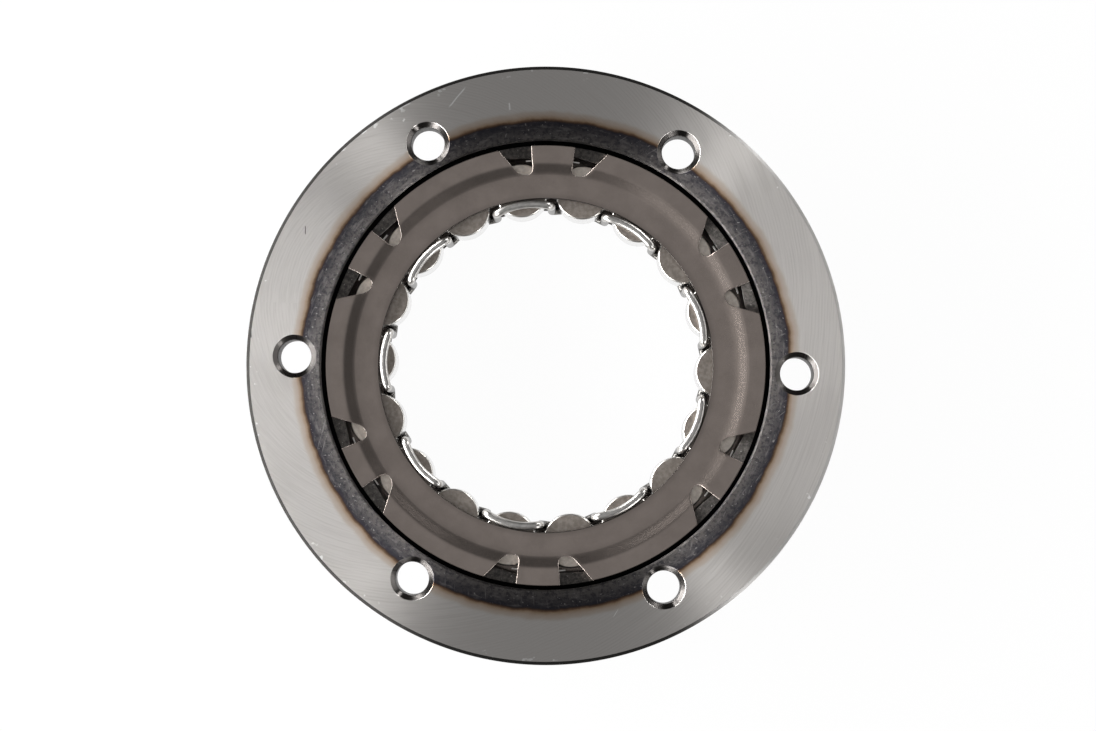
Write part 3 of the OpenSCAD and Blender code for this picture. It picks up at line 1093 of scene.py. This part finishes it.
for mask, rgb in ((cloudy, CLOUD), (mottled, MOTTLE), (worn, WORN), (scratches, SCRATCHED)):
    heated = mix_colour(times(mask, band), heated, rgb)
print("heat tints:", len(stops))

# %% [markdown]
# The bare steel carries small bright nicks near the rim, from a noise, and the few clear
# scratches of the photograph. Those are laid one by one at the places where they are seen.

# %% Finish of the housing: nicks and scratches
NICK = (0.9, 0.89, 0.87)
BRIGHT, DARK = (0.95, 0.94, 0.92), (0.12, 0.11, 0.105)
RUBS = [  # colour, x, y, turn in degrees, length, width
    (BRIGHT, -14.7, 39.8, 53, 4.4, 0.3),
    (BRIGHT, -15.4, 43.1, 95, 1.4, 0.15),
    (BRIGHT, -22.6, 38.3, 31, 2.4, 0.5),
    (BRIGHT, -24.8, 37.1, 34, 2.0, 0.4),
    (BRIGHT, -6.8, 38.7, 92, 1.3, 0.35),
    (BRIGHT, -22.6, 36.1, 60, 0.6, 0.4),
    (BRIGHT, 4.5, 44.1, 0, 0.9, 0.25),
    (BRIGHT, -28.5, 34.1, 38, 1.2, 0.3),
    (BRIGHT, 12.1, -36.3, 60, 3.0, 0.12),
    (DARK, -44.4, 3.1, 92, 1.3, 0.45),
    (DARK, -36.8, 19.0, 92, 1.5, 0.2),
]

nicks = use(speck_group, place, Scale=0.9, Amount=0.26)["Mask"]
near_rim = ramp(radius_mm, flange_r - 2.2, flange_r - 0.6)
bare = mix_colour(times(nicks, near_rim), bare, NICK)
for rgb, x, y, turn, length, width in RUBS:
    turn = math.radians(turn)
    rub = use(rub_group, place, X=x, Y=y, Turn=turn, Length=length, Width=width)
    bare = mix_colour(rub["Mask"], bare, rgb)
colour = mix_colour(tinted, bare, heated)
print("scratches:", len(RUBS))

# %% [markdown]
# Five more places have their own look. The seat lies in the shade beside and below the plate's rim, so
# its colour is painted shade with light grit, and its groove is painted black as shade.
# The rim's bevel has painted shade on the left and a painted highlight on the right. Everything behind
# the face has a duller skin, the countersinks are smooth and dark, and the walls of the holes have
# painted shade and are rough.

# %% Finish of the housing: seat, bevel, back and holes
# The seat's two colours are painted shade for the dark gap beside the plate's rim, with light grit on
# them; the groove is painted black as shade.
SEAT_PAINTED_SHADE, SEAT_GRIT = ((0.085, 0.08, 0.076), (0.22, 0.20, 0.185)), (0.5, 0.48, 0.45)
GROOVE_PAINTED_SHADE = (0.008, 0.008, 0.008)
# The bevel's colours are painted: shade on its left side, a highlight on its right.
BEVEL_PAINTED_SHADE_AND_HIGHLIGHT = (0.045, 0.043, 0.041), (0.6, 0.585, 0.57)
BEVEL_DARK_TO, BEVEL_LIGHT_FROM = 20.0, 36.0
BACK_SKIN = (0.30, 0.285, 0.27), (0.40, 0.385, 0.37)
SINK = (0.12, 0.112, 0.107)
# The walls of the holes are painted dark as shade.
HOLE_WALL_PAINTED_SHADE = (0.05, 0.047, 0.045), (0.16, 0.15, 0.145)
groove_from = seat_r - groove_w

in_seat = times(
    ramp(height_mm, total_h - 0.35, total_h - 0.25, 1.0, 0.0),
    ramp(radius_mm, seat_r + 0.1, seat_r + 0.2, 1.0, 0.0),
)
# Painted shade on the seat, with light grit, turning black in its groove.
seat_painted_shade_and_grit = mix_colour(ramp(noise(place, 2.2, 5.0, 0.7), 0.35, 0.7), *SEAT_PAINTED_SHADE)
seat_painted_shade_and_grit = mix_colour(grit, seat_painted_shade_and_grit, SEAT_GRIT)
in_groove = ramp(radius_mm, groove_from - 0.05, groove_from + 0.05)
seat_painted_shade_and_grit = mix_colour(in_groove, seat_painted_shade_and_grit, GROOVE_PAINTED_SHADE)
on_bevel = times(
    ramp(radius_mm, flange_r - 0.56, flange_r - 0.5),
    ramp(height_mm, total_h - 0.55, total_h - 0.48),
)
# Painted shade on the bevel's left side, fading into a painted highlight on its right.
x_mm = add(tree, "ShaderNodeSeparateXYZ", {0: place}).outputs[0]
bevel_painted_shade_and_highlight = mix_colour(ramp(x_mm, BEVEL_DARK_TO, BEVEL_LIGHT_FROM), *BEVEL_PAINTED_SHADE_AND_HIGHLIGHT)
behind = times(
    ramp(height_mm, total_h - edge_chamfer - 0.1, total_h - edge_chamfer, 1.0, 0.0),
    ramp(radius_mm, seat_r + 0.2, seat_r + 0.3),
)
from_hole = use(hole_group, place)["Distance"]
in_sink = ramp(from_hole, bolt_entry_r - 0.08, bolt_entry_r - 0.02, 1.0, 0.0)
in_hole = ramp(from_hole, bolt_hole_r + 0.05, bolt_hole_r + 0.12, 1.0, 0.0)
# Of these looks, the seat and the hole walls carry painted shade, and the bevel painted shade and a
# painted highlight.
for mask, look in (
    (in_seat, seat_painted_shade_and_grit),
    (on_bevel, bevel_painted_shade_and_highlight),
    (behind, mix_colour(tone, *BACK_SKIN)),
    (in_sink, SINK),
    (in_hole, mix_colour(tone, *HOLE_WALL_PAINTED_SHADE)),
):
    colour = mix_colour(mask, colour, look)
rough = scaled(tone, 0.06, 0.31)
for mask, rougher in (
    (calc("MAXIMUM", band, in_seat), 0.14),
    (on_bevel, 0.15),
    (in_sink, -0.05),
    (in_hole, 0.45),
):
    rough = scaled(mask, rougher, rough)
relief = plus(marks, times(turned, 0.4))
outward = vector_calc("NORMALIZE", vector_calc("MULTIPLY", place, (1.0, 1.0, 0.0)))
bump = bumped(relief, 0.25, 2e-5)
set_shader(shader, Base_Color=colour, Roughness=rough, Anisotropic=0.95, Normal=bump, Tangent=outward)
print("housing:", len(tree.nodes), "nodes")

# %% [markdown]
# The plate is pressed sheet with a satin brown-grey skin. Its cut edges are bare and a little
# rounded, so they are lighter. Towards the bore it has a little painted shade, and its very edge there
# is painted dark as shade.
# The rear ring takes the same finish, so its lip inside the bore gets the painted shade too.

# %% Finish of the cage plate and the rear ring
SHEET = (0.33, 0.279, 0.25), (0.39, 0.331, 0.298)
SHEET_SKIN, SHEET_CUT = (0.44, 0.386, 0.352), (0.50, 0.46, 0.43)
# The colour of the painted shade towards the bore.
SHEET_PAINTED_SHADE = (0.01, 0.01, 0.01)

tree, shader, place = new_material("satin_sheet", [plate_piece, rear_ring])
skin = noise(place, 6.0, 4.0, 0.6)
colour = mix_colour(ramp(noise(place, 0.25, 4.0, 0.6), 0.3, 0.7), *SHEET)
colour = mix_colour(ramp(skin, 0.35, 0.75, 0.0, 0.35), colour, SHEET_SKIN)
cut = add(tree, "ShaderNodeAttribute", attribute_name="cut_edge").outputs["Fac"]
colour = mix_colour(times(cut, 0.4), colour, SHEET_CUT)
radius_mm = use(polar_group, place)["Radius"]
# Painted shade towards the bore, darkest on its very edge; it falls on the rear ring's lip too.
painted_bore_shade = times(
    ramp(radius_mm, plate_bore_r + 0.1, plate_bore_r + 1.0, 0.82, 1.0),
    ramp(radius_mm, plate_bore_r + 0.08, plate_bore_r + 0.14, 0.25, 1.0),
)
colour = mix_colour(minus(1.0, painted_bore_shade), colour, SHEET_PAINTED_SHADE)
rough = scaled(cut, 0.2, scaled(skin, 0.08, 0.20))
set_shader(shader, Base_Color=colour, Roughness=rough, Normal=bumped(skin, 0.2, 2e-5))
print("sheet:", len(tree.nodes), "nodes")

# %% [markdown]
# The rollers' ends are tumbled matt with a mottled skin, and each rim is rubbed bright. The
# outer half of an end shows only in the notches, where little light gets down to it, so its colour is
# painted lighter, as painted light.
# The spring wire is drawn and polished, with painted shade down its legs, and the clips
# are bright rolled strip.

# %% Finish of the rollers, wire and clips
END_INNER = (0.265, 0.232, 0.205), (0.37, 0.33, 0.295)
# The outer half of an end is painted lighter, as painted light.
END_OUTER_PAINTED_LIGHT = (0.74, 0.67, 0.60), (0.90, 0.83, 0.75)
CORNER, RIM = (0.58, 0.56, 0.53), (0.72, 0.71, 0.70)
# The legs' colour is painted shade.
WIRE, WIRE_LEG_PAINTED_SHADE = ((0.50, 0.485, 0.465), (0.62, 0.60, 0.575)), (0.17, 0.163, 0.155)
STRIP = (0.55, 0.53, 0.50), (0.68, 0.66, 0.63)

tree, shader, place = new_material("tumbled_pins", rollers)
reach = add(tree, "ShaderNodeAttribute", attribute_name="from_axis").outputs["Fac"]
mottle = noise(place, 1.6, 5.0, 0.65)
spotted = ramp(mottle, 0.35, 0.65)
from_middle = use(polar_group, place)["Radius"]
# Painted light on the ends' outer half, the part that shows in the notches.
painted_light_outer_half = ramp(from_middle, pitch_r - 1.5, pitch_r + 2.0)
on_corner = ramp(reach, 0.94, 0.955)
on_rim = ramp(reach, 0.99, 0.998)
inner, outer = mix_colour(spotted, *END_INNER), mix_colour(spotted, *END_OUTER_PAINTED_LIGHT)
colour = mix_colour(painted_light_outer_half, inner, outer)
colour = mix_colour(on_corner, colour, CORNER)
colour = mix_colour(on_rim, colour, RIM)
rough = scaled(on_rim, -0.15, ramp(reach, 0.94, 0.955, 0.50, 0.30))
set_shader(shader, Base_Color=colour, Roughness=rough, Normal=bumped(mottle, 0.3, 3e-5))

tree, shader, place = new_material("drawn_wire", [wire_piece])
streaked = ramp(noise(place, 1.5, 3.0), 0.35, 0.65)
height_mm = use(polar_group, place)["Height"]
# Painted shade down the wire's legs, between the rollers.
painted_shade_on_leg = ramp(height_mm, roller_top - 1.2, roller_top - 0.2, 1.0, 0.0)
colour = mix_colour(painted_shade_on_leg, mix_colour(streaked, *WIRE), WIRE_LEG_PAINTED_SHADE)
set_shader(shader, Base_Color=colour, Roughness=0.32)

tree, shader, place = new_material("rolled_strip", clips)
streaked = ramp(noise(place, 3.0, 3.0), 0.35, 0.65)
set_shader(shader, Base_Color=mix_colour(streaked, *STRIP), Roughness=0.3)
print("finishes:", [piece.active_material.name for piece in (rollers[0], wire_piece, clips[0])])

# %% [markdown]
# The photograph's ground is pure white. The floor is therefore plain white paper, and shows as
# flat white to the camera and in reflections except where the clutch shades it a little. The
# world is a grey room with a brighter ceiling, and the face mirrors that.

# %% Floor and world
FLOOR_HALF = 3.0
FLOOR_GLOW = 0.97  # share of the flat white in what the camera sees
WALL, CEILING = (0.05, 0.05, 0.05), (0.38, 0.38, 0.383)

floor_mesh = bpy.data.meshes.new("floor")
corners = [(x * FLOOR_HALF, y * FLOOR_HALF, 0) for x, y in ((-1, -1), (1, -1), (1, 1), (-1, 1))]
floor_mesh.from_pydata(corners, [], [(0, 1, 2, 3)])
floor = new_object("floor", floor_mesh)
paper = bpy.data.materials.new("white_paper")
paper.use_nodes = True
tree = paper.node_tree
tree.nodes.clear()
seen = add(tree, "ShaderNodeLightPath").outputs
direct = calc("MAXIMUM", seen["Is Camera Ray"], seen["Is Glossy Ray"])
direct = times(calc("MAXIMUM", direct, seen["Is Transmission Ray"]), FLOOR_GLOW)
matte = add(tree, "ShaderNodeBsdfDiffuse", {"Color": (0.8, 0.8, 0.8, 1)}).outputs[0]
glow = add(tree, "ShaderNodeEmission", {"Color": (1, 1, 1, 1), "Strength": 1.0}).outputs[0]
shown = add(tree, "ShaderNodeMixShader", {0: direct, 1: matte, 2: glow}).outputs[0]
tree.links.new(shown, add(tree, "ShaderNodeOutputMaterial").inputs[0])
floor_mesh.materials.append(paper)

world = bpy.data.worlds.new("studio")
world.use_nodes = True
bpy.context.scene.world = world
sky = world.node_tree
direction = add(sky, "ShaderNodeTexCoord").outputs["Generated"]
rise = add(sky, "ShaderNodeSeparateXYZ", {0: direction}).outputs[2]
room = mix_colour(ramp(rise, 0.65, 1.0), WALL, CEILING)
sky.links.new(room, sky.nodes["Background"].inputs["Color"])
print("floor:", floor.name, "world:", world.name)

# %% [markdown]
# Two large soft boxes stand left and right, the left one closer and stronger, and a weak one
# fills in from high up on the left. Four slim ones stand on the diagonals, and these draw the
# bright spokes on the turned flange.

# %% Lamps
LAMPS = [  # name, azimuth and elevation in degrees, distance, width and height in metres, watts
    ("box_left", 184, 20, 0.45, 0.85, 0.12, 8.2),
    ("box_right", 0, 12, 1.2, 1.6, 0.25, 5.0),
    ("fill_left", 193, 50, 1.2, 1.4, 0.9, 0.85),
    ("slim_upper_right", 50, 18, 1.2, 0.18, 0.5, 4.2),
    ("slim_upper_left", 128, 18, 1.2, 0.26, 0.5, 5.6),
    ("slim_lower_left", 234, 18, 1.2, 0.24, 0.5, 4.5),
    ("slim_lower_right", 309, 18, 1.2, 0.2, 0.5, 3.8),
]

for name, azimuth, elevation, distance, width, height, power in LAMPS:
    data = bpy.data.lights.new(name, "AREA")
    data.shape = "RECTANGLE"
    data.size, data.size_y, data.energy = width, height, power
    lamp = new_object(name, data)
    e = math.radians(elevation)
    spot = Vector(polar(math.cos(e), azimuth + CAMERA_TURN, math.sin(e))) * distance
    lamp.matrix_world = Matrix.Translation(spot) @ spot.to_track_quat("Z", "Y").to_matrix().to_4x4()
bpy.context.scene.view_settings.view_transform = "Standard"
print("lamps:", len(LAMPS))
